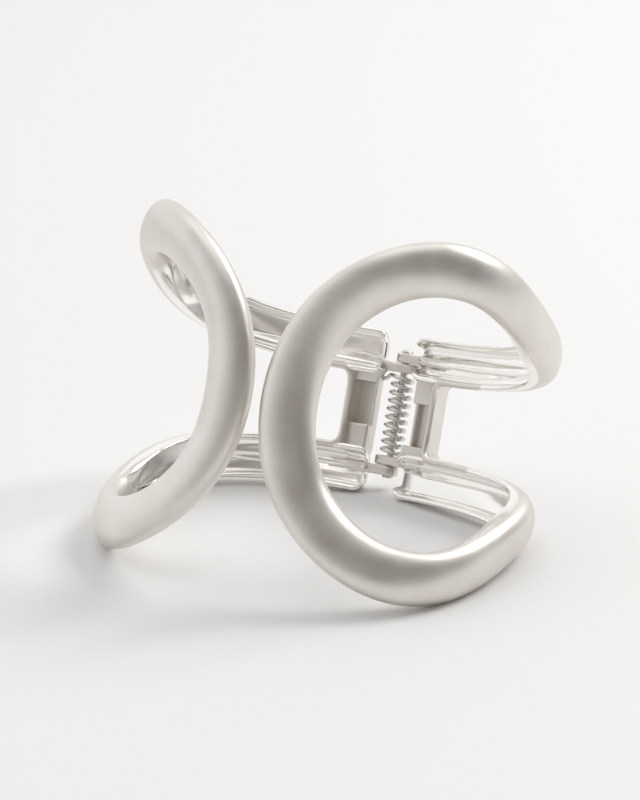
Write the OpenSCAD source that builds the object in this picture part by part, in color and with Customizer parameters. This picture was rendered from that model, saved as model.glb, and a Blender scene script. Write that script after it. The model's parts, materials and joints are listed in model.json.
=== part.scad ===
// Alligator hair clip: two identical open-ring jaws, cast with gutter-shaped arms,
// turn on one hinge pin and are held closed by a torsion spring between the lugs.
// The clip is designed with the pin along Z and the mouth facing -Y, and is then
// leaned back so that its rings and its lower arm ends stand on the plane z = 0.

/* [Jaw path] */
// Sideways reach of the ring's bend
side_x = 30.5; // [29:0.5:33]
// Height of the ring's crown above the middle of the clip
crown_z = 22.5; // [21:0.5:24]
// Depth of the front bars ahead of the hinge pin
front_y = -41.7; // [-43:0.1:-40.5]
// Distance of each front bar's path from the middle of the mouth
tip_x = 4; // [4:0.5:8]
// Height of each arm's path above the middle of the clip
arm_z = 8.8; // [8.6:0.1:9.2]
// Gap on each side of the pin before the arms begin
arm_end_x = 2.8; // [2.8:0.1:3.4]

/* [Jaw section] */
// Half-width of the bar at the arm
arm_w = 3.4; // [3.2:0.1:3.6]
// Half-width of the bar at the front
bar_w = 4.1; // [3.8:0.1:4.4]
// Wall thickness of the hollow arms
wall = 1.1; // [0.9:0.1:1.3]
// Width of the rim along each edge of a hollow arm
rim_w = 0.9; // [0.8:0.1:1.1]

/* [Hinge] */
// Diameter of the hinge pin
pin_d = 1.1; // [1:0.05:1.2]
// Radial clearance between the pin and the lug bores
pin_fit = 0.05; // [0.04:0.01:0.08]
// Thickness of each hinge lug
lug_t = 1.4; // [1.2:0.1:1.6]
// Gap between a lug and the one beside it
lug_gap = 0.1; // [0.06:0.02:0.14]
// Height of the gap between each pair of lugs
lug_z = 7.7; // [7.6:0.1:8]
// Radius of the rounded end of an outer lug
lug_r = 1.5; // [1.4:0.1:1.6]
// Length of an inner lug's heel past the pin
heel_x = 2.4; // [2.2:0.1:2.5]

/* [Spring] */
// Wire diameter of the torsion spring
wire_d = 0.6; // [0.5:0.05:0.7]
// Outside diameter of the torsion spring
coil_d = 3.6; // [3.4:0.1:3.8]
// Number of turns, rounded up
turns = 10; // [8:1:11]
// Height of the coil
coil_h = 12; // [11:0.1:12]

/* [Hidden] */

// Control points of a jaw's path, from an arm's hinge end to the middle of the front
// bar; the lower half is their mirror image.
upper_half = [
    [arm_end_x, -2.3, arm_z],
    [14, -4.7, arm_z - 0.1],
    [28.5, -8.7, 10.5],
    [side_x, -19.7, 15],
    [28.5, -32.7, crown_z],
    [18, -39.7, crown_z - 1],
    [7, front_y + 0.5, 12.5],
    [tip_x, front_y, 0]
];
spans = len(upper_half) - 1;
lower_half = [for (i = [spans - 1 : -1 : 0]) [upper_half[i].x, upper_half[i].y, -upper_half[i].z]];
lead_in = 2 * upper_half[0] - upper_half[1];
lead_out = [lead_in.x, lead_in.y, -lead_in.z];
control = concat([lead_in], upper_half, lower_half, [lead_out]);
ring_axis_y = -25.7;              // the bar's outer face looks away from this upright line

// Steps along the path, as fractions of one half, closer together at its ends
half_steps = 40;
cavity_end = 0.48;                // where the hollow arm becomes a solid bar
end_steps = [0, 0.005, 0.016];
steps_upper = concat(end_steps, [for (i = [1 : half_steps]) i / half_steps]);
steps_count = len(steps_upper);
steps = concat(steps_upper, [for (i = [steps_count - 2 : -1 : 0]) 2 - steps_upper[i]]);

// Uniform cubic B-spline through the control polygon; u runs from 0 to 2
function spline(u) =
    let (s = min(u * spans, 2 * spans - 1e-6), k = floor(s), t = s - k)
    (pow(1 - t, 3) * control[k] + (3 * pow(t, 3) - 6 * t * t + 4) * control[k + 1]
        + (-3 * pow(t, 3) + 3 * t * t + 3 * t + 1) * control[k + 2] + pow(t, 3) * control[k + 3]) / 6;
function unit(v) = v / norm(v);
function heading(u) = unit(spline(min(u + 0.002, 2)) - spline(max(u - 0.002, 0)));

// How far the bar's outer face and inner face stand from the path, and its half-width
function from_end(u) = u <= 1 ? u : 2 - u;
function outer_b(u) = lookup(from_end(u),
    [[0, 2.9], [0.005, 3.2], [0.016, 3.3], [0.2, 3.1], [0.35, 2.7], [0.65, 2.2], [1, 2.7]]);
function inner_b(u) = lookup(from_end(u),
    [[0, 0.4], [0.2, 0.5], [0.35, 1.5], [0.5, 2.3], [0.65, 2.2], [1, 2.7]]);
function half_w(u) = lookup(from_end(u),
    [[0, arm_w - 0.9], [0.005, arm_w - 0.3], [0.016, arm_w], [0.35, arm_w + 0.1],
     [0.65, bar_w - 0.2], [1, bar_w]]);

// Hollow: 1 in the open channel, 0 in the solid bar, and rounded like a ball-ended cutter's
// path at the cavity's far end
function hollow(u, a) =
    let (far = cavity_end - 0.06 * (1 - sqrt(1 - a * a)), k = min(max((far - from_end(u)) / 0.035, 0), 1))
    sqrt(1 - (1 - k) * (1 - k));

// Places across the section, as fractions of the half-width, for its inner side
rim_in = 1 - rim_w / arm_w;
inner_places = [0.985, 0.93, (1 + rim_in) / 2, rim_in + 0.02, rim_in - 0.06, 0.45, 0.15];
across_in = concat(-inner_places, [for (i = [len(inner_places) - 1 : -1 : 0]) inner_places[i]]);
outer_points = 12;

// Point of a superellipse: fuller than an ellipse along the arms, plain in the front bar
function fullness(u) = lookup(from_end(u), [[0, 2.6], [0.35, 2.3], [0.6, 2]]);
function power(v, e) = sign(v) * pow(abs(v), e);
function rounded(a, n) = pow(1 - pow(a, n), 1 / n);

// Closed outline of the bar's section as [across, outwards] pairs
function section(u) =
    let (w = half_w(u), bo = outer_b(u), bi = inner_b(u), n = fullness(u))
    concat(
        [for (i = [0 : outer_points])
            let (t = 180 * i / outer_points)
            [w * power(cos(t), 2 / n), bo * power(sin(t), 2 / n)]],
        [for (a = across_in)
            let (solid = -bi * rounded(abs(a), n),
                 floor_b = (bo - wall) * rounded(abs(a), n),
                 cut = abs(a) < rim_in ? hollow(u, a) : 0)
            [w * a, solid + (floor_b - solid) * cut]]
    );

// The bar's own directions at step u: the path's point, across the bar, and outwards
function bar_frame(u) =
    let (c = spline(u), t = heading(u),
         radial = unit([c.x, c.y - ring_axis_y, 0]),
         n = unit(radial - t * (t * radial)))
    [c, cross(t, n), n];
function place(f, across, outwards) = f[0] + across * f[1] + outwards * f[2];
function ring_of_points(u) = let (f = bar_frame(u)) [for (p = section(u)) place(f, p.x, p.y)];

ring_size = outer_points + 1 + len(across_in);
bar_rings = [for (u = steps) ring_of_points(u)];
bar_points = [for (r = bar_rings) each r];
function side_faces(rows, n) = [
    for (i = [0 : rows - 2], j = [0 : n - 1])
        let (k = (j + 1) % n)
        each [[i * n + j, i * n + k, (i + 1) * n + k], [i * n + j, (i + 1) * n + k, (i + 1) * n + j]]
];
// Triangles that close the ring of row number row, laced from one side of it to the other
function cap(row, n, turned) = [
    for (i = [0 : floor((n - 1) / 2) - 1])
        let (a = row * n + i, d = row * n + n - 1 - i)
        for (f = [[a, a + 1, d - 1], [a, d - 1, d]])
            if (f[1] != f[2]) turned ? [f[2], f[1], f[0]] : f
];
// Closed solid through a list of rings of points
module skin(rings) {
    n = len(rings[0]);
    last = len(rings) - 1;
    polyhedron(points = [for (r = rings) each r],
        faces = concat(side_faces(last + 1, n), cap(0, n, true), cap(last, n, false)), convexity = 10);
}

// Hinge heights, from the middle of the clip
inner_lug_z = lug_z - lug_gap / 2 - lug_t;     // underside of an inner lug
outer_lug_z = lug_z + lug_gap / 2;             // underside of an outer lug
bore_d = pin_d + 2 * pin_fit;

// Ridge that carries a lug on along its arm's floor, widest a little way in and fading out
ridge_steps = [0.002, 0.03, 0.06, 0.09, 0.12, 0.15, 0.18, 0.21, 0.235, 0.255, 0.265];
function ridge_w(s) = lookup(s, [[0, 0.75], [0.05, 1.15], [0.12, 1.25], [0.2, 0.9], [0.265, 0.25]]);
function ridge_h(s) = lookup(s, [[0, 1.3], [0.12, 0.85], [0.2, 0.4], [0.265, 0.02]]);
function ridge_ring(u, across) =
    let (s = from_end(u), f = bar_frame(u), w = ridge_w(s), h = ridge_h(s),
         level = (outer_b(u) - wall) * rounded(abs(across) / half_w(u), fullness(u)))
    [for (j = [0 : 11])
        let (q = 30 * j)
        place(f, across + w * cos(q), level + (sin(q) > 0 ? 0.5 : h) * sin(q))];

// Bead that carries a window's rim round its hinge-side corners and down the post
bead_r = 0.48;
post_x = 7.1;
corner_r = 1.5;
corner_z = arm_z - arm_w + rim_w / 2 - corner_r;
function rim_point(u) = place(bar_frame(u), rim_w / 2 - half_w(u), 0.4 - inner_b(u));
bead_upper = concat(
    [for (u = [0.16, 0.14, 0.12, 0.1]) rim_point(u)],
    [for (a = [0 : 15 : 90])
        [post_x + corner_r * (1 - sin(a)), -3.7 + 0.5 * a / 90, corner_z + corner_r * cos(a)]]
);
bead_lower = [for (i = [len(bead_upper) - 1 : -1 : 0]) [bead_upper[i].x, bead_upper[i].y, -bead_upper[i].z]];
bead_path = concat(bead_upper, bead_lower);
function bead_ring(i) =
    let (t = unit(bead_path[min(i + 1, len(bead_path) - 1)] - bead_path[max(i - 1, 0)]),
         n = unit([0, 1, 0] - t * t.y),
         b = cross(t, n))
    [for (q = [0 : 36 : 324]) bead_path[i] + bead_r * (cos(q) * b + sin(q) * n)];

// Lean at which the rings and the lower arm ends reach the table together
function drop(p, lean) = p.z * cos(lean) - p.y * sin(lean);
arm_tip_points = [for (i = [len(bar_points) - 5 * ring_size : len(bar_points) - 1]) bar_points[i]];
function lift(lean) =
    min([for (p = arm_tip_points) drop(p, lean)]) - min([for (p = bar_points) p.y < -20 ? drop(p, lean) : 0]);
function find_lean(low, high, n) =
    let (mid = (low + high) / 2)
    n == 0 ? mid : lift(mid) > 0 ? find_lean(mid, high, n - 1) : find_lean(low, mid, n - 1);
lean = find_lean(5, 40, 16);
function back(p) = p.y * cos(lean) + p.z * sin(lean);
left_points = [for (p = bar_points) [-p.x, p.y, -p.z]];
lug_back = back([0, lug_r, outer_lug_z + lug_t]);
stand_y = -(min([for (p = concat(bar_points, left_points)) back(p)]) + lug_back) / 2;
stand_z = -min([for (p = bar_points) drop(p, lean)]);

// Torsion spring: the coil turns clockwise as it rises, and each leg runs out sideways
// behind the block of its own jaw
coil_r = (coil_d - wire_d) / 2;
coil_top = (coil_h - wire_d) / 2;
leg_y = -0.6;
leg_z = 5;
leg_end_x = 4;
first_turn = -30;                              // angle at which the lower leg joins the coil
sweep_angle = 360 * turns - 180 + 2 * first_turn;
coil_steps = 14 * turns;
wire_sides = 6;
coil_path = [for (i = [0 : coil_steps])
    let (a = first_turn - sweep_angle * i / coil_steps)
    [coil_r * cos(a), coil_r * sin(a), coil_top * (2 * i / coil_steps - 1)]];
leg = [
    [leg_end_x, leg_y, -leg_z],
    [coil_r + 1.1, leg_y, -leg_z],
    [coil_r + 0.55, leg_y, -(leg_z + coil_top) / 2],
    [coil_r + 0.14, leg_y - 0.02, -coil_top]
];
wire_path = concat(leg, coil_path, [for (i = [len(leg) - 1 : -1 : 0]) [-leg[i].x, leg[i].y, -leg[i].z]]);
wire_last = len(wire_path) - 1;
function wire_ring(i) =
    let (t = unit(wire_path[min(i + 1, wire_last)] - wire_path[max(i - 1, 0)]),
         n = unit(cross([0, 0, 1], t)),
         b = cross(t, n))
    [for (j = [0 : wire_sides - 1])
        let (a = 360 * j / wire_sides)
        wire_path[i] + wire_d / 2 * (cos(a) * n - sin(a) * b)];

// Puts the designed clip on the table
module stand() {
    translate([0, stand_y, stand_z]) rotate([-lean, 0, 0]) children();
}

// A lug in plan: an eye round the pin, a second eye of radius eye_r at eye_x, and a plate
// that runs from them into the ridge on the arm's floor
module lug_outline(eye_x, eye_r) {
    difference() {
        union() {
            circle(r = lug_r, $fn = 48);
            translate([eye_x, 0]) circle(r = eye_r, $fn = 48);
            polygon([
                [eye_x, eye_r], [eye_x, -eye_r], [0, -lug_r], [3.4, -lug_r], [9, -2.4],
                [9, -1.5], [3.4, 0.4], [0, lug_r]
            ]);
        }
        circle(d = bore_d, $fn = 48);
    }
}

// A window's hinge-side post: its rim, its wall, the plate that stands forward beside the
// outer lug, a flange beside the spring, and the web that spreads from the inner lug in
// front of the spring's leg
module post() {
    rim_x = 6.6;
    back_y = 0.5;
    front_y = -3.2;
    wall_y = -0.2;
    plate_x = 3.4;
    plate_front = -2.3;
    plate_low = 2.1;
    flange_front = -1.2;
    web_front = -2.5;
    web_back = -1;
    web_top = -4.2;
    end_z = arm_z - arm_w + 0.6;
    plate_w = rim_x - plate_x + 0.5;
    translate([rim_x, front_y, -end_z]) cube([1, back_y - front_y, 2 * end_z]);
    translate([plate_x, wall_y, -end_z]) cube([plate_w, back_y - wall_y, 2 * end_z]);
    plate_h = end_z + 0.6 - plate_low;
    translate([plate_x, plate_front, plate_low]) cube([plate_w, back_y - plate_front, plate_h]);
    translate([plate_x, flange_front, web_top]) cube([0.5, back_y - flange_front, plate_low + 0.1 - web_top]);
    translate([0, web_back, 0]) rotate([90, 0, 0]) linear_extrude(web_back - web_front)
        polygon([[1.9, -6.4], [2.5, -5.8], [2.8, -5.3], [3, web_top], [7, web_top], [7, -6.4]]);
}

// One jaw, mouth bar on the +X side: outer lug above, inner lug below
module jaw() {
    union() {
        skin(bar_rings);
        skin([for (s = ridge_steps) ridge_ring(s, outer_lug_z + lug_t / 2 - arm_z)]);
        skin([for (i = [len(ridge_steps) - 1 : -1 : 0])
            ridge_ring(2 - ridge_steps[i], inner_lug_z + lug_t / 2 - arm_z)]);
        skin([for (i = [0 : len(bead_path) - 1]) bead_ring(i)]);
        translate([0, 0, outer_lug_z]) linear_extrude(lug_t)
            lug_outline(0, lug_r);
        translate([0, 0, -inner_lug_z - lug_t]) linear_extrude(lug_t)
            lug_outline(1.2 - heel_x, 1.2);
        post();
    }
}

module right_jaw() {
    color([0.80, 0.79, 0.77]) stand() jaw();
}

module left_jaw() {
    color([0.80, 0.79, 0.77]) stand() rotate([0, 180, 0]) jaw();
}

// Pin with a small head above the upper lugs and a peened end below the lower ones
module hinge_pin() {
    head_h = 0.5;
    peen_h = 0.35;
    reach = outer_lug_z + lug_t + 0.05;
    color([0.66, 0.65, 0.62]) stand() union() {
        translate([0, 0, -reach - peen_h]) cylinder(d = pin_d, h = 2 * reach + peen_h + head_h, $fn = 48);
        translate([0, 0, reach]) cylinder(d1 = 1.8, d2 = 1.3, h = head_h, $fn = 48);
        translate([0, 0, -reach - peen_h]) cylinder(d1 = 1.3, d2 = 1.7, h = peen_h, $fn = 48);
    }
}

module torsion_spring() {
    color([0.72, 0.71, 0.69]) stand() skin([for (i = [0 : wire_last]) wire_ring(i)]);
}

left_jaw();
right_jaw();
hinge_pin();
torsion_spring();
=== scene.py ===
import json
import math

import bmesh
import bpy
import numpy as np
from mathutils import Matrix, Vector


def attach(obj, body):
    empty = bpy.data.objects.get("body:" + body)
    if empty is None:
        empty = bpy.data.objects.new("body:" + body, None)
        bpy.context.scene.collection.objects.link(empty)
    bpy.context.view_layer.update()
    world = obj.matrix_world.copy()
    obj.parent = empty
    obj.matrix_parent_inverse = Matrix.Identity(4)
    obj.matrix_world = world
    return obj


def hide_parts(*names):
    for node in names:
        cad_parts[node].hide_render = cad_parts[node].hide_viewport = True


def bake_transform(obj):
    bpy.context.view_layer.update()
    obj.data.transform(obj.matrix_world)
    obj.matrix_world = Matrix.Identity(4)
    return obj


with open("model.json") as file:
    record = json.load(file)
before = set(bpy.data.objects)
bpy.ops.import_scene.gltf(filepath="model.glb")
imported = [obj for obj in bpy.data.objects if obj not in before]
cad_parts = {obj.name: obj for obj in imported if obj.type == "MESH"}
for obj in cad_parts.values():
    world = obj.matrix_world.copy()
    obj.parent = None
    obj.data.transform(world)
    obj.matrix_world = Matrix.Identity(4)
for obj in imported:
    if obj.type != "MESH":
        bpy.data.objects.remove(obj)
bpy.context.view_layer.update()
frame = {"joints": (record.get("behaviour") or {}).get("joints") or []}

MM = 0.001
JOINT = next(j for j in frame["joints"] if j["name"] == "jaw_hinge")

# ---------------------------------------------------------------------------
# Dimensions of the clip, in mm, in the hinge's own frame: pin along Z through the
# origin, mouth towards -Y, right jaw on +X. They repeat the CAD model's, but the
# cavity's far end, the arm ends and the ridges have a slightly different shape here.
# ---------------------------------------------------------------------------
ARM_END_X = 2.8
ARM_Z = 8.8
# Control points of a jaw's path, from the upper arm's end to the middle of the front bar
UPPER_HALF = [
    (ARM_END_X, -2.3, ARM_Z),
    (14, -4.7, ARM_Z - 0.1),
    (28.5, -8.7, 10.5),
    (30.5, -19.7, 15),
    (28.5, -32.7, 22.5),
    (18, -39.7, 21.5),
    (7, -41.2, 12.5),
    (4, -41.7, 0),
]
# The bar's outer face looks away from the upright line at this y
RING_AXIS_Y = -25.7
# Half-widths of the bar at the arm and at the front
ARM_W = 3.4
BAR_W = 4.1
WALL = 1.1
RIM_W = 0.9
HALF_LENGTH = 89.0
SECTION_LENGTH = 22.0
RIM_IN = 1 - RIM_W / ARM_W
# Where the channel ends, and the length over which it narrows, as fractions of half the path
CAVITY_END = 0.49
CAVITY_TIP = 0.10
PIN_D = 1.1
PIN_FIT = 0.05
LUG_T = 1.4
LUG_GAP = 0.1
LUG_Z = 7.7
LUG_R = 1.5
HEEL_X = 2.4
INNER_LUG_Z = LUG_Z - LUG_GAP / 2 - LUG_T
OUTER_LUG_Z = LUG_Z + LUG_GAP / 2
WIRE_D = 0.6
COIL_R = 1.5
COIL_TOP = 5.7
TURNS = 10
LEG_Y = -0.6
LEG_Z = 5.0
LEG_END_X = 4.0
FIRST_TURN = -30.0

# The hinge's frame in the row's frame, read from the joint
AXIS = Vector(JOINT["axis"]).normalized()
PIN = Vector(JOINT["pos_m"])
LEAN = math.atan2(AXIS.y, AXIS.z)
STAND = Matrix.Translation(PIN) @ Matrix.Rotation(-LEAN, 4, "X") @ Matrix.Scale(MM, 4)
TURNED = STAND @ Matrix.Rotation(math.pi, 4, "Y")


# ---------------------------------------------------------------------------
# Mesh helpers
# ---------------------------------------------------------------------------
END_THINNING = 0.86
SAME_POINT = 0.02


def new_object(name, verts, faces, matrix=None):
    mesh = bpy.data.meshes.new(name)
    mesh.from_pydata([tuple(v) for v in verts], [], faces)
    if matrix is not None:
        mesh.transform(matrix)
    mesh.validate()
    obj = bpy.data.objects.new(name, mesh)
    bpy.context.scene.collection.objects.link(obj)
    return obj


def shade(obj, angle=math.radians(35)):
    for polygon in obj.data.polygons:
        polygon.use_smooth = True
    bm = bmesh.new()
    bm.from_mesh(obj.data)
    for edge in bm.edges:
        edge.smooth = len(edge.link_faces) != 2 or edge.calc_face_angle(0.0) < angle
    bm.to_mesh(obj.data)
    bm.free()


def recalc(obj):
    bm = bmesh.new()
    bm.from_mesh(obj.data)
    bmesh.ops.recalc_face_normals(bm, faces=bm.faces)
    bm.to_mesh(obj.data)
    bm.free()


def apply_modifiers(obj):
    graph = bpy.context.evaluated_depsgraph_get()
    mesh = bpy.data.meshes.new_from_object(obj.evaluated_get(graph))
    old = obj.data
    obj.modifiers.clear()
    obj.data = mesh
    bpy.data.meshes.remove(old)


def ring_faces(rows, n, close_ends=True):
    faces = []
    for i in range(rows - 1):
        for j in range(n):
            k = (j + 1) % n
            faces.append((i * n + j, i * n + k, (i + 1) * n + k, (i + 1) * n + j))
    if close_ends:
        faces.append(tuple(reversed(range(n))))
        faces.append(tuple((rows - 1) * n + j for j in range(n)))
    return faces


def block(name, low, high, bevel=0.18, segments=3):
    """A box between two corners with rounded edges."""
    obj = new_object(name, *box_data(low, high))
    bm = bmesh.new()
    bm.from_mesh(obj.data)
    edges = list(bm.edges)
    bmesh.ops.bevel(bm, geom=edges, offset=bevel, segments=segments, profile=0.5, affect="EDGES")
    bmesh.ops.recalc_face_normals(bm, faces=bm.faces)
    bm.to_mesh(obj.data)
    bm.free()
    return obj


def box_data(low, high):
    verts = [(x, y, z) for z in (low[2], high[2]) for y in (low[1], high[1]) for x in (low[0], high[0])]
    faces = [(0, 2, 3, 1), (4, 5, 7, 6), (0, 1, 5, 4), (1, 3, 7, 5), (3, 2, 6, 7), (2, 0, 4, 6)]
    return verts, faces


def prism(name, outline, low, high, axis="Z", bevel=0.12):
    """An outline extruded along an axis, with its end edges rounded."""
    n = len(outline)
    if axis == "Z":
        verts = [(x, y, low) for x, y in outline] + [(x, y, high) for x, y in outline]
    else:
        verts = [(x, low, y) for x, y in outline] + [(x, high, y) for x, y in outline]
    obj = new_object(name, verts, ring_faces(2, n))
    bm = bmesh.new()
    bm.from_mesh(obj.data)
    bmesh.ops.recalc_face_normals(bm, faces=bm.faces)
    caps = [f for f in bm.faces if len(f.verts) == n]
    edges = list({e for f in caps for e in f.edges})
    bmesh.ops.bevel(
        bm, geom=edges, offset=bevel, segments=3, profile=0.5, affect="EDGES", clamp_overlap=True
    )
    bmesh.ops.recalc_face_normals(bm, faces=bm.faces)
    bm.to_mesh(obj.data)
    bm.free()
    return obj


def arc(cx, cy, r, start, stop, n):
    """Points of an arc, with its angles in degrees."""
    angles = [math.radians(start + (stop - start) * i / n) for i in range(n + 1)]
    return [(cx + r * math.cos(a), cy + r * math.sin(a)) for a in angles]


def lathe(name, profile, sides, matrix=None):
    """A turned solid through radius and height pairs."""
    verts = [
        (r * math.cos(2 * math.pi * k / sides), r * math.sin(2 * math.pi * k / sides), z)
        for r, z in profile for k in range(sides)
    ]
    return new_object(name, verts, ring_faces(len(profile), sides), matrix)


def boolean(obj, others, operation):
    """Joins the other objects to obj, or cuts them from it, one after another."""
    for other in others:
        modifier = obj.modifiers.new("join", "BOOLEAN")
        modifier.operation = operation
        modifier.solver = "EXACT"
        modifier.object = other
        apply_modifiers(obj)
        bpy.data.objects.remove(other)


def tube(name, path, radius, sides, matrix=None):
    """A round wire along a path, a little thinner at its two ends."""
    last = len(path) - 1
    turns = [2 * math.pi * j / sides for j in range(sides)]
    verts = []
    for i, p in enumerate(path):
        t = (path[min(i + 1, last)] - path[max(i - 1, 0)]).normalized()
        n = Vector((0, 0, 1)).cross(t).normalized()
        b = t.cross(n)
        r = radius * (END_THINNING if i in (0, last) else 1.0)
        verts += [p + r * (math.cos(a) * n + math.sin(a) * b) for a in turns]
    return new_object(name, verts, ring_faces(len(path), sides), matrix)


# ---------------------------------------------------------------------------
# The jaw's bar: a section swept along a smooth path
# ---------------------------------------------------------------------------
SPANS = len(UPPER_HALF) - 1
UPPER = np.array(UPPER_HALF, float)
LOWER = UPPER[:-1][::-1] * [1, 1, -1]
LEAD = 2 * UPPER[0] - UPPER[1]
CONTROL = np.vstack([LEAD, UPPER, LOWER, LEAD * [1, 1, -1]])

# Steps round the section and along the path
OUTER_POINTS = 40
RIM_STEPS = 16
RIM_PLACES = [0.5 - 0.5 * math.cos(math.pi * (k + 0.3) / RIM_STEPS) for k in range(RIM_STEPS)]
FLOOR_PLACES = [0.03 * k for k in range(7)] + [0.18 + 0.065 * k for k in range(1, 13)]
INNER_POINTS = 2 * (len(RIM_PLACES) + len(FLOOR_PLACES))
HALF_STEPS = 200

# The bar's sizes in mm, at fractions of half the path from an arm's end
OUTER_SIDE = (
    (0, 2.7), (0.002, 2.95), (0.005, 3.15), (0.01, 3.28), (0.016, 3.3), (0.2, 3.1),
    (0.35, 2.7), (0.65, 2.2), (1, 2.7),
)
INNER_SIDE = ((0, 0.4), (0.2, 0.5), (0.35, 1.5), (0.5, 2.3), (0.65, 2.2), (1, 2.7))
HALF_WIDTH = (
    (0, ARM_W - 0.9), (0.002, ARM_W - 0.55), (0.005, ARM_W - 0.3), (0.01, ARM_W - 0.08),
    (0.016, ARM_W), (0.35, ARM_W + 0.1), (0.65, BAR_W - 0.2), (1, BAR_W),
)
RIDGE_WIDTH = ((0, 1.1), (0.05, 1.6), (0.12, 1.7), (0.2, 1.3), (0.27, 0.7))
RIDGE_HEIGHT = ((0, 1.3), (0.12, 0.9), (0.2, 0.45), (0.27, 0.0))
# Power of the section's superellipse: fuller than an ellipse along the arms
FULLNESS = ((0, 2.6), (0.35, 2.3), (0.6, 2.0))

# The rims' crest above the inner side, the width of the channel's side walls, and how soon
# the channel reaches its full depth
RIM_CREST = 0.05
SIDE_WALL = 0.45
DEEPENING = 1.6


def spline(u):
    """Point of the path; u runs from 0 at the upper arm's end to 2 at the lower arm's."""
    s = min(u * SPANS, 2 * SPANS - 1e-6)
    k = int(s)
    t = s - k
    weights = np.array([(1 - t) ** 3, 3 * t**3 - 6 * t * t + 4, -3 * t**3 + 3 * t * t + 3 * t + 1, t**3]) / 6
    return weights @ CONTROL[k:k + 4]


def unit(v):
    return v / np.linalg.norm(v)


def from_end(u):
    return u if u <= 1 else 2 - u


def table(u, rows):
    """Value at u of a line through place and value pairs, the same from either arm's end."""
    return float(np.interp(from_end(u), [r[0] for r in rows], [r[1] for r in rows]))


def smooth(x):
    t = min(max(x, 0.0), 1.0)
    return t * t * (3 - 2 * t)


def cavity(u):
    """How much of the open channel is left at u: 1 along the arm, and 0 from the cavity's tip on."""
    return min(max((CAVITY_END - from_end(u)) / CAVITY_TIP, 0.0), 1.0)


def ridge(u, x):
    """Height of the ridge that carries the lug on along the channel's floor, x mm across."""
    middle = (OUTER_LUG_Z if u < 1 else INNER_LUG_Z) + LUG_T / 2 - ARM_Z
    t = abs(x - middle) / table(u, RIDGE_WIDTH)
    return table(u, RIDGE_HEIGHT) * (1 - t * t) ** 2 if t < 1 else 0.0


def section(u):
    """The bar's outline: a rounded back, and an inner side with two rims and a channel between them."""
    w = table(u, HALF_WIDTH)
    bo = table(u, OUTER_SIDE)
    bi = table(u, INNER_SIDE)
    n = table(u, FULLNESS)
    left = cavity(u)
    shape = smooth(left)
    opening = RIM_IN * (1 - (1 - left) ** 2)
    deep = math.sqrt(1 - (1 - min(left * DEEPENING, 1.0)) ** 2)

    def body(a):
        return max(0.0, 1 - abs(a) ** n) ** (1 / n)

    lip = -bi * body(opening) * (1 - shape)

    def back_point(t):
        c = math.cos(t)
        s = math.sin(t)
        return w * math.copysign(abs(c) ** (2 / n), c), bo * abs(s) ** (2 / n)

    def rim_point(sign, r):
        a = 1 - (1 - opening) * r
        crest = -(bi + RIM_CREST) * math.sqrt(max(0.0, 1 - (2 * r - 1) ** 2))
        return sign * a * w, crest * shape - bi * body(a) * (1 - shape)

    def floor_point(sign, q):
        a = opening * (1 - q)
        x = sign * a * w
        floor_b = (bo - WALL) * body(a) - ridge(u, x)
        wall = smooth(min(1.0, w * opening * q / SIDE_WALL))
        return x, lip + (floor_b - lip) * wall * deep

    def inner_side(sign):
        return [rim_point(sign, r) for r in RIM_PLACES] + [floor_point(sign, q) for q in FLOOR_PLACES]

    outer_side = [back_point(t) for t in np.linspace(0, math.pi, OUTER_POINTS + 1)]
    return outer_side + inner_side(-1) + inner_side(1)[::-1]


def path_steps():
    """Steps along the path, closer together at its ends and round the cavity's far end."""
    fine = [0, 0.002, 0.005, 0.01, 0.016]
    dense = [CAVITY_END - 0.11 + 0.002 * k for k in range(57)]
    plain = [i / HALF_STEPS for i in range(4, HALF_STEPS + 1)]
    first = fine + [u for u in plain if not dense[0] - 0.002 < u < dense[-1] + 0.002] + dense
    first.sort()
    return first + [2 - u for u in first[-2::-1]]


def frame_at(u):
    """The bar's own directions: the path's point, across the bar, and outwards."""
    c = spline(u)
    t = unit(spline(min(u + 0.002, 2)) - spline(max(u - 0.002, 0)))
    radial = unit(np.array([c[0], c[1] - RING_AXIS_Y, 0.0]))
    n = unit(radial - t * (t @ radial))
    return c, np.cross(t, n), n


def sweep_bar():
    steps = path_steps()
    verts = []
    for u in steps:
        c, b, n = frame_at(u)
        verts += [c + p * b + q * n for p, q in section(u)]
    size = OUTER_POINTS + 1 + INNER_POINTS
    obj = new_object("bar", verts, ring_faces(len(steps), size))
    # the first map runs along the bar and across it, in mm; the second marks the polished channel, which
    # also gets a painted sheen in its colour
    along = [u * HALF_LENGTH for u in steps]
    flow = obj.data.uv_layers.new(name="flow")
    polish = obj.data.uv_layers.new(name="polish")
    for polygon in obj.data.polygons:
        cols = [obj.data.loops[i].vertex_index % size for i in polygon.loop_indices]
        wrap = max(cols) - min(cols) > size / 2
        for i, col in zip(polygon.loop_indices, cols):
            row = obj.data.loops[i].vertex_index // size
            across = (col + size if wrap and col < size / 2 else col) * SECTION_LENGTH / size
            flow.data[i].uv = (along[row], across)
            u = from_end(steps[row])
            inside = col > OUTER_POINTS
            polish.data[i].uv = (smooth((CAVITY_END + 0.02 - u) / 0.03) if inside else 0.0, 0.0)
    recalc(obj)
    return obj


# ---------------------------------------------------------------------------
# The hinge end of a jaw
# ---------------------------------------------------------------------------
def lug(name, low, eye_x, eye_r):
    """An eye round the pin, with a plate that runs from it into the ridge on the arm's floor."""
    outline = arc(eye_x, 0, eye_r, 90, 270, 24)
    outline += [(0, -LUG_R), (3.4, -LUG_R), (9, -2.4), (9, -1.5), (3.4, 0.4), (0, LUG_R)]
    clean = [outline[0]]
    for p in outline[1:]:
        if math.dist(p, clean[-1]) > SAME_POINT:
            clean.append(p)
    if math.dist(clean[0], clean[-1]) < SAME_POINT:
        clean.pop()
    return prism(name, clean, low, low + LUG_T, bevel=0.28)


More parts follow.
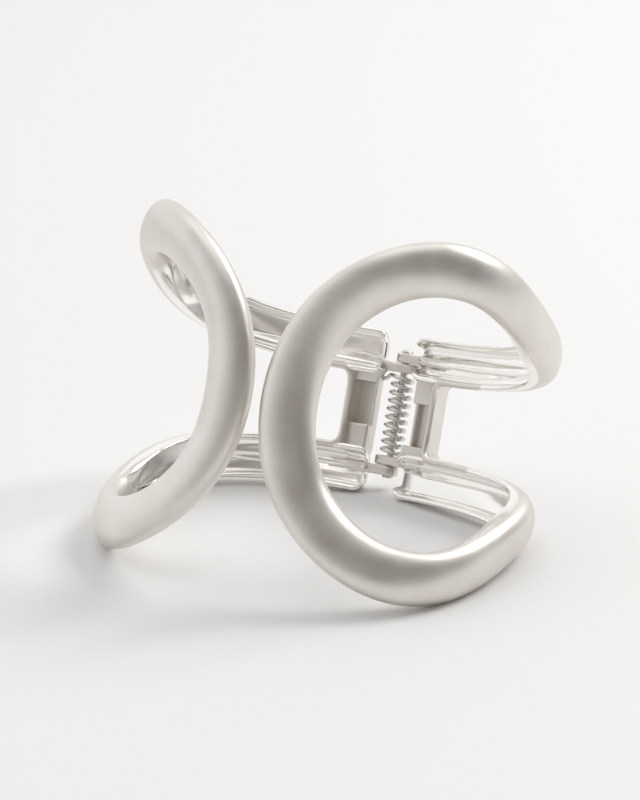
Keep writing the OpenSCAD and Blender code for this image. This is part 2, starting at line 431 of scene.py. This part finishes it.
def gusset(name, corner_x, corner_z, size, dx, dz, low_y, high_y):
    """Fills a window's corner with a rounded fillet."""
    points = [(corner_x, corner_z), (corner_x + dx * size, corner_z)]
    for i in range(1, 8):
        a = math.radians(90 * i / 8)
        x = corner_x + dx * size * (1 - math.sin(a))
        z = corner_z + dz * size * (1 - math.cos(a))
        points.append((x, z))
    points.append((corner_x, corner_z + dz * size))
    return prism(name, points, low_y, high_y, axis="Y", bevel=0.05)


POST_X = 7.1
POST_FRONT_Y = -3.2
BEAD_R = 0.48
BEAD_IN = 0.4
CORNER_R = 1.5
CORNER_Y = -3.7


def bead():
    """The window's rim, carried round its two hinge-side corners and down the post."""
    def rim_point(u):
        c, b, n = frame_at(u)
        return c + (RIM_W / 2 - table(u, HALF_WIDTH)) * b + (BEAD_IN - table(u, INNER_SIDE)) * n

    corner_z = ARM_Z - ARM_W + RIM_W / 2 - CORNER_R
    upper = [rim_point(0.16 - 0.005 * k) for k in range(14)]
    for k in range(13):
        a = math.radians(90 * k / 12)
        x = POST_X + CORNER_R * (1 - math.sin(a))
        y = CORNER_Y + 0.5 * k / 12
        upper.append((x, y, corner_z + CORNER_R * math.cos(a)))
    lower = [(x, y, -z) for x, y, z in upper[::-1]]
    path = [Vector(p) for p in upper + [(POST_X, POST_FRONT_Y, 0.0)] + lower]
    obj = tube("bead", path, BEAD_R, 20)
    recalc(obj)
    return obj


def post_parts():
    """The window's post: rim, wall, plate beside the outer lug, flange, web, and corner fillets."""
    rim_x = 6.6
    back_y = 0.5
    wall_y = -0.2
    plate_x = 3.4
    plate_front = -2.3
    plate_low = 2.1
    flange_front = -1.2
    web_front = -2.5
    web_back = -1.0
    web_top = -4.2
    web_low = -6.4
    end_z = ARM_Z - ARM_W + 0.6
    corner_x = rim_x + 0.9
    corner_z = ARM_Z - ARM_W + 0.1
    corner_front = POST_FRONT_Y + 0.2
    web = [
        (1.9, web_low), (2.2, -6.1), (2.5, -5.75), (2.75, -5.35), (2.92, -4.85), (3.0, web_top),
        (7.0, web_top), (7.0, web_low),
    ]
    plate_corner = (rim_x + 0.5, back_y - 0.05, end_z + 0.6)
    flange_corner = (plate_x + 0.5, back_y - 0.07, plate_low + 0.3)
    return [
        block("rim", (rim_x, POST_FRONT_Y, -end_z), (rim_x + 1, back_y, end_z), 0.22, 4),
        block("wall", (plate_x, wall_y, -end_z), (rim_x + 0.4, back_y - 0.03, end_z), 0.1),
        block("plate", (plate_x + 0.02, plate_front, plate_low), plate_corner, 0.3, 4),
        block("flange", (plate_x + 0.01, flange_front, web_top - 0.3), flange_corner, 0.12),
        prism("web", web, web_front, web_back, axis="Y", bevel=0.2),
        gusset("corner_up", corner_x, corner_z, 1.3, 1, -1, corner_front, 0.3),
        gusset("corner_low", corner_x, -corner_z, 1.3, 1, 1, corner_front, 0.3),
        bead(),
    ]


def jaw_mesh():
    """The right jaw before it is leaned back: bar, lugs and post in one, bored for the pin."""
    bar = sweep_bar()
    parts = [
        lug("outer_lug", OUTER_LUG_Z, 0, LUG_R),
        lug("inner_lug", -INNER_LUG_Z - LUG_T, 1.2 - HEEL_X, 1.2),
    ] + post_parts()
    boolean(bar, parts, "UNION")
    bore_r = PIN_D / 2 + PIN_FIT
    bore = lathe("bore", [(bore_r, -12), (bore_r, 12)], 48)
    recalc(bore)
    boolean(bar, [bore], "DIFFERENCE")
    return bar


# ---------------------------------------------------------------------------
# Materials
# ---------------------------------------------------------------------------
# Sockets of a colour Mix node, which share their names with those of its other types
MIX_A = 6
MIX_B = 7
MIX_RESULT = 2


def nodes_of(material):
    material.use_nodes = True
    tree = material.node_tree
    tree.nodes.clear()
    out = tree.nodes.new("ShaderNodeOutputMaterial")
    shader = tree.nodes.new("ShaderNodeBsdfPrincipled")
    tree.links.new(shader.outputs["BSDF"], out.inputs["Surface"])
    return tree, shader


def add(tree, kind, **settings):
    node = tree.nodes.new(kind)
    for key, value in settings.items():
        setattr(node, key, value)
    return node


def noise(tree, vector, scale, detail=3.0, rough=0.5):
    node = add(tree, "ShaderNodeTexNoise")
    node.inputs["Scale"].default_value = scale
    node.inputs["Detail"].default_value = detail
    node.inputs["Roughness"].default_value = rough
    tree.links.new(vector, node.inputs["Vector"])
    return node.outputs["Fac"]


def remap(tree, value, low, high, to_low, to_high):
    node = add(tree, "ShaderNodeMapRange")
    node.inputs["From Min"].default_value = low
    node.inputs["From Max"].default_value = high
    node.inputs["To Min"].default_value = to_low
    node.inputs["To Max"].default_value = to_high
    tree.links.new(value, node.inputs["Value"])
    return node.outputs["Result"]


def math_node(tree, operation, a, b):
    node = add(tree, "ShaderNodeMath", operation=operation)
    for i, value in enumerate((a, b)):
        if isinstance(value, (int, float)):
            node.inputs[i].default_value = value
        else:
            tree.links.new(value, node.inputs[i])
    return node.outputs[0]


def mix_colour(tree, factor, a, b):
    node = add(tree, "ShaderNodeMix", data_type="RGBA")
    node.inputs[MIX_A].default_value = (*a, 1)
    node.inputs[MIX_B].default_value = (*b, 1)
    tree.links.new(factor, node.inputs[0])
    return node.outputs[MIX_RESULT]


def jaw_metal():
    """Satin plating with fine lines along the bar, small dings, and a polished channel whose lighter colour
    is painted sheen.
    """
    material = bpy.data.materials.new("satin_silver")
    tree, shader = nodes_of(material)
    flow = add(tree, "ShaderNodeUVMap", uv_map="flow").outputs["UV"]
    polish_and_sheen_map = add(tree, "ShaderNodeUVMap", uv_map="polish").outputs["UV"]
    split = add(tree, "ShaderNodeSeparateXYZ")
    tree.links.new(polish_and_sheen_map, split.inputs[0])
    polish_and_sheen_mask = split.outputs["X"]
    stretch = add(tree, "ShaderNodeMapping")
    stretch.inputs["Scale"].default_value = (0.12, 2.2, 1.0)
    tree.links.new(flow, stretch.inputs["Vector"])
    lines = noise(tree, stretch.outputs["Vector"], 3.0, 4.0, 0.6)
    where = add(tree, "ShaderNodeTexCoord").outputs["Object"]
    cloud = noise(tree, where, 160.0, 2.0)
    grain = noise(tree, where, 5200.0, 2.0)
    # roughness: satin outside, smoother in the channel, both a little uneven
    satin = remap(tree, math_node(tree, "ADD", lines, cloud), 0.7, 1.3, 0.33, 0.45)
    bright = remap(tree, cloud, 0.3, 0.7, 0.08, 0.16)
    mix = add(tree, "ShaderNodeMix", data_type="FLOAT")
    tree.links.new(polish_and_sheen_mask, mix.inputs[0])
    tree.links.new(satin, mix.inputs[2])
    tree.links.new(bright, mix.inputs[3])
    tree.links.new(mix.outputs[0], shader.inputs["Roughness"])
    patches = remap(tree, cloud, 0.35, 0.65, 0, 1)
    colour = mix_colour(tree, patches, (0.75, 0.715, 0.67), (0.82, 0.79, 0.75))
    # painted sheen: the polished channel gets a lighter base colour, standing in for the brighter look of
    # its polish
    colour_with_painted_sheen = add(tree, "ShaderNodeMix", data_type="RGBA")
    colour_with_painted_sheen.inputs[MIX_B].default_value = (0.96, 0.945, 0.92, 1)
    tree.links.new(polish_and_sheen_mask, colour_with_painted_sheen.inputs[0])
    tree.links.new(colour, colour_with_painted_sheen.inputs[MIX_A])
    tree.links.new(colour_with_painted_sheen.outputs[MIX_RESULT], shader.inputs["Base Color"])
    shader.inputs["Metallic"].default_value = 1.0
    # relief: brush lines, fine blasted grain and a few dings
    cells = add(tree, "ShaderNodeTexVoronoi", feature="F1")
    cells.inputs["Scale"].default_value = 95.0
    tree.links.new(where, cells.inputs["Vector"])
    ding = remap(tree, cells.outputs["Distance"], 0.0, 0.055, 0.0, 1.0)
    line_height = math_node(tree, "MULTIPLY", lines, 0.30)
    grain_height = math_node(tree, "MULTIPLY", grain, 0.12)
    height = math_node(tree, "ADD", line_height, grain_height)
    bump = add(tree, "ShaderNodeBump")
    bump.inputs["Strength"].default_value = 0.25
    bump.inputs["Distance"].default_value = 0.00006
    tree.links.new(height, bump.inputs["Height"])
    bump_ding = add(tree, "ShaderNodeBump")
    bump_ding.inputs["Strength"].default_value = 0.8
    bump_ding.inputs["Distance"].default_value = 0.00022
    tree.links.new(ding, bump_ding.inputs["Height"])
    tree.links.new(bump.outputs["Normal"], bump_ding.inputs["Normal"])
    tree.links.new(bump_ding.outputs["Normal"], shader.inputs["Normal"])
    return material


def small_metal(name, dark, light, rough):
    """Drawn wire or turned pin: fine lines and an uneven, slightly stained surface."""
    material = bpy.data.materials.new(name)
    tree, shader = nodes_of(material)
    where = add(tree, "ShaderNodeTexCoord").outputs["Object"]
    stain = noise(tree, where, 900.0, 4.0, 0.6)
    fine = noise(tree, where, 7000.0, 2.0)
    patches = remap(tree, stain, 0.35, 0.65, 0, 1)
    tree.links.new(mix_colour(tree, patches, dark, light), shader.inputs["Base Color"])
    tree.links.new(remap(tree, stain, 0.3, 0.7, rough, rough + 0.12), shader.inputs["Roughness"])
    shader.inputs["Metallic"].default_value = 1.0
    bump = add(tree, "ShaderNodeBump")
    bump.inputs["Strength"].default_value = 0.2
    bump.inputs["Distance"].default_value = 0.00003
    tree.links.new(fine, bump.inputs["Height"])
    tree.links.new(bump.outputs["Normal"], shader.inputs["Normal"])
    return material


def floor_paper():
    """Pale matt paper, faintly uneven."""
    material = bpy.data.materials.new("pale_paper")
    tree, shader = nodes_of(material)
    where = add(tree, "ShaderNodeTexCoord").outputs["Object"]
    tone = noise(tree, where, 6.0, 2.0)
    colour = mix_colour(tree, tone, (0.90, 0.90, 0.90), (0.915, 0.915, 0.915))
    tree.links.new(colour, shader.inputs["Base Color"])
    shader.inputs["Roughness"].default_value = 0.75
    return material


# ---------------------------------------------------------------------------
# The jaws
# ---------------------------------------------------------------------------
satin = jaw_metal()
casting = jaw_mesh()
shade(casting)
casting.data.materials.clear()
casting.data.materials.append(satin)
for name, body, node, matrix in (
    ("right_jaw_cast", "right", "right_jaw", STAND),
    ("left_jaw_cast", "left", "left_jaw", TURNED),
):
    jaw = bpy.data.objects.new(name, casting.data.copy())
    bpy.context.scene.collection.objects.link(jaw)
    jaw.data.transform(matrix)
    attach(jaw, body)
    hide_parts(node)
bpy.data.objects.remove(casting)


# ---------------------------------------------------------------------------
# Pin: head above the upper lugs, peened end below the lower ones
# ---------------------------------------------------------------------------
def pin_profile():
    """Radius and height pairs up the pin, from its peened end to its head."""
    top = OUTER_LUG_Z + LUG_T + 0.05
    radius = PIN_D / 2
    peen = [(0.3, 0.35), (0.55, 0.34), (0.75, 0.26), (0.84, 0.12), (0.83, 0.03), (0.8, 0.0)]
    shank = [(radius, -top), (radius, -top + 0.1), (radius, top - 0.1), (radius, top)]
    head = [(0.86, 0.0), (0.9, 0.06), (0.88, 0.2), (0.78, 0.36), (0.6, 0.46), (0.3, 0.5)]
    return [(r, -top - z) for r, z in peen] + shank + [(r, top + z) for r, z in head]


pin = lathe("hinge_pin_turned", pin_profile(), 48, STAND)
recalc(pin)
shade(pin)
pin.data.materials.append(small_metal("pin_steel", (0.60, 0.57, 0.53), (0.78, 0.76, 0.73), 0.24))
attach(pin, "left")
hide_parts("hinge_pin")


# ---------------------------------------------------------------------------
# Torsion spring: its lower leg goes with the right jaw, its upper leg with the left
# ---------------------------------------------------------------------------
def spring_path():
    """The wire's middle line: lower leg, coil, then the lower leg turned round as the upper one."""
    sweep = 360 * TURNS - 180 + 2 * FIRST_TURN
    steps = 40 * TURNS
    coil = []
    for i in range(steps + 1):
        a = math.radians(FIRST_TURN - sweep * i / steps)
        coil.append((COIL_R * math.cos(a), COIL_R * math.sin(a), COIL_TOP * (2 * i / steps - 1)))
    # distance from the pin, and share of the way from the leg's height to the coil's end
    leg = [
        (LEG_END_X, 0.0), (3.3, 0.0), (2.85, 0.0), (2.6, 0.08),
        (2.35, 0.3), (2.05, 0.75), (1.85, 0.95), (1.64, 1.0),
    ]
    drop = COIL_TOP - LEG_Z
    last_dip = 0.02
    lower = [(x, LEG_Y - (last_dip if x < 1.7 else 0), -LEG_Z - drop * share) for x, share in leg]
    upper = [(-x, y, -z) for x, y, z in reversed(lower)]
    return [Vector(p) for p in lower + coil + upper]


spring = tube("torsion_spring_wire", spring_path(), WIRE_D / 2, 16, STAND)
recalc(spring)
shade(spring, math.radians(50))
spring.data.materials.append(small_metal("spring_steel", (0.66, 0.64, 0.61), (0.80, 0.78, 0.76), 0.2))
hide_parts("torsion_spring")
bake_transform(spring)


# ---------------------------------------------------------------------------
# Floor, lights and camera
# ---------------------------------------------------------------------------
floor = new_object("floor", [(-6, -6, 0), (6, -6, 0), (6, 6, 0), (-6, 6, 0)], [(0, 1, 2, 3)])
floor.data.materials.append(floor_paper())


def facing(place, target):
    """Turns a light or camera at place towards target."""
    look = (Vector(target) - Vector(place)).to_track_quat("-Z", "Y")
    return Matrix.Translation(place) @ look.to_matrix().to_4x4()


def area_light(name, place, target, size, power, colour=(1, 1, 1)):
    data = bpy.data.lights.new(name, "AREA")
    data.shape = "RECTANGLE"
    data.size = size
    data.size_y = size
    data.energy = power
    data.color = colour
    obj = bpy.data.objects.new(name, data)
    bpy.context.scene.collection.objects.link(obj)
    obj.matrix_world = facing(place, target)


CAMERA_PLACE = Vector((0.3382, -0.5523, 0.2719))
CAMERA_TARGET = Vector((0.0003, -0.0012, 0.0209))
CAMERA_ROLL = math.radians(-2.56)
CAMERA_LENS = 217.0
CENTRE = Vector((0, 0, 0.024))
area_light("key", (0.40, 0.58, 0.70), CENTRE, 0.40, 4.4, (1.0, 0.99, 0.97))
area_light("top", (-0.10, -0.05, 1.10), CENTRE, 0.9, 1.3)


# Colour of the studio by how far a direction points at the camera: 0 square to it or away, 1 at it
WORLD_STOPS = (
    (0.0, (0.97, 0.97, 0.97)),
    (0.20, (0.84, 0.835, 0.825)),
    (0.46, (0.46, 0.445, 0.425)),
    (0.72, (0.30, 0.285, 0.26)),
    (1.0, (0.24, 0.225, 0.205)),
)


def studio_world():
    """A bright tent, dim round the camera and on the camera's right."""
    world = bpy.data.worlds.new("studio")
    world.use_nodes = True
    tree = world.node_tree
    background = tree.nodes["Background"]
    direction = add(tree, "ShaderNodeTexCoord").outputs["Generated"]
    toward = add(tree, "ShaderNodeVectorMath", operation="DOT_PRODUCT")
    tree.links.new(direction, toward.inputs[0])
    back = (CAMERA_PLACE - CAMERA_TARGET).normalized()
    right = Vector((0, 0, 1)).cross(back).normalized()
    dim_middle = (back + 0.08 * right + 0.18 * back.cross(right)).normalized()
    toward.inputs[1].default_value = tuple(dim_middle)
    ramp = add(tree, "ShaderNodeValToRGB")
    stops = ramp.color_ramp.elements
    for place, rgb in WORLD_STOPS:
        stop = stops[int(place)] if place in (0.0, 1.0) else stops.new(place)
        stop.position = place
        stop.color = (*rgb, 1)
    tree.links.new(toward.outputs["Value"], ramp.inputs["Fac"])
    tree.links.new(ramp.outputs["Color"], background.inputs["Color"])
    sideways = add(tree, "ShaderNodeVectorMath", operation="DOT_PRODUCT")
    tree.links.new(direction, sideways.inputs[0])
    sideways.inputs[1].default_value = tuple(right)
    strength = remap(tree, sideways.outputs["Value"], 0.05, 0.75, 1.0, 0.62)
    tree.links.new(strength, background.inputs["Strength"])
    return world


bpy.context.scene.world = studio_world()
bpy.context.scene.view_settings.view_transform = "Standard"

camera_data = bpy.data.cameras.new("camera")
camera_data.lens = CAMERA_LENS
camera_data.sensor_width = 36.0
camera_data.clip_end = 50
camera = bpy.data.objects.new("camera", camera_data)
bpy.context.scene.collection.objects.link(camera)
camera.matrix_world = facing(CAMERA_PLACE, CAMERA_TARGET) @ Matrix.Rotation(CAMERA_ROLL, 4, "Z")
bpy.context.scene.camera = camera
